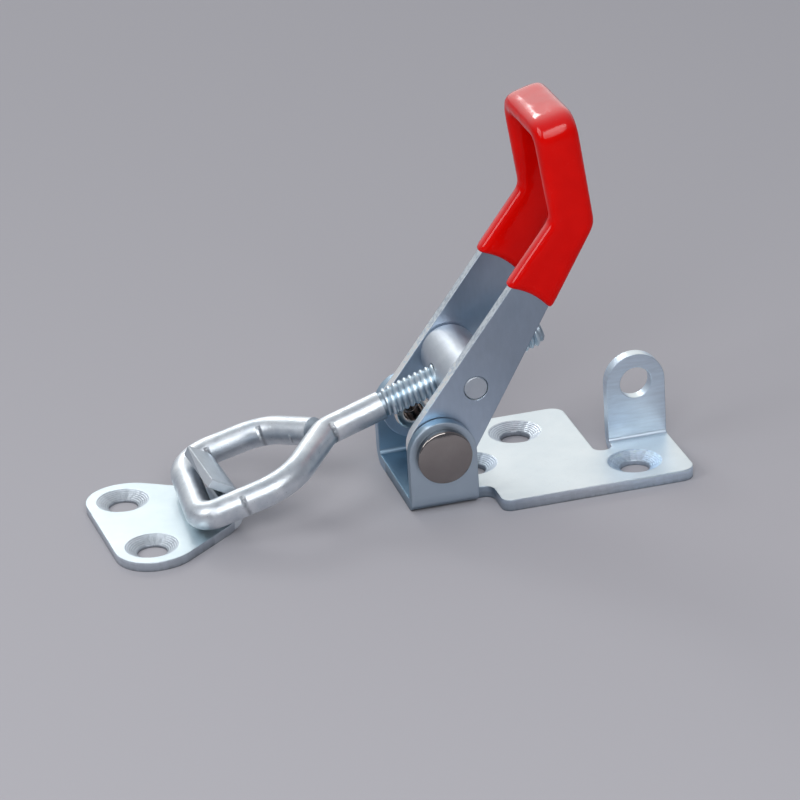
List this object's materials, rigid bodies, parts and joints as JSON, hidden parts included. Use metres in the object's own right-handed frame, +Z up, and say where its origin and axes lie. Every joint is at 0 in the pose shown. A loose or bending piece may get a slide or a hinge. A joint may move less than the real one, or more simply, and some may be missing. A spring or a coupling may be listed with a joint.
{
  "type": "over centre toggle latch",
  "caption": "Over centre toggle latch with a threaded drawbar loop, folding handle with dipped grip, padlock lug and hooked catch plate.",
  "frame": {"origin": "on the base plate's underside, straight below the handle's pivot axis and midway between the ears", "axes": "+X from the catch plate towards the padlock lug, +Y towards the left ear, parallel to the handle's pivot axis, +Z up from the mounting surface"},
  "size_m": [0.1245, 0.041, 0.0819],
  "materials": {
    "base_steel": "bright zinc plate on folded sheet",
    "handle_steel": "satin zinc plate",
    "catch_steel": "bright zinc plate on folded sheet",
    "rod_steel": "zinc plate on drawn rod, lightly pitted",
    "trunnion_steel": "zinc plate on turned bar",
    "rivet_steel": "polished",
    "grip_vinyl": "glossy dipped soft vinyl"
  },
  "bodies": {
    "base": {"base_plate": "base_steel", "right_pivot_rivet": "rivet_steel", "left_pivot_rivet": "rivet_steel"},
    "handle": {"handle": "handle_steel", "grip_sleeve": "grip_vinyl"},
    "trunnion": {"trunnion": "trunnion_steel"},
    "drawbar": {"drawbar": "rod_steel"},
    "catch": {"catch_plate": "catch_steel"}
  },
  "joints": [
    {"name": "handle_pivot", "type": "hinge", "parent": "base", "child": "handle", "pos_m": [0, 0, 0.0127], "axis": [0, 1, 0], "range_deg": [-5, 61.5]},
    {"name": "trunnion_swivel", "type": "hinge", "parent": "handle", "child": "trunnion", "pos_m": [0.00851, 0, 0.02513], "axis": [0, 1, 0], "range_deg": [-49.5, 4.5]},
    {"name": "drawbar_adjust", "type": "slide", "parent": "trunnion", "child": "drawbar", "axis": [-0.9511, 0, -0.309], "range_m": [-0.0006, 0.0006]},
    {"name": "catch_pull", "type": "slide", "parent": "base", "child": "catch", "axis": [1, 0, 0], "range_m": [-0.0005, 0.0058]}
  ],
  "couplings": [
    {"joint": "trunnion_swivel", "follows": "handle_pivot", "ratio": -0.795},
    {"joint": "catch_pull", "follows": "handle_pivot", "m_per_rad": 0.0054}
  ]
}
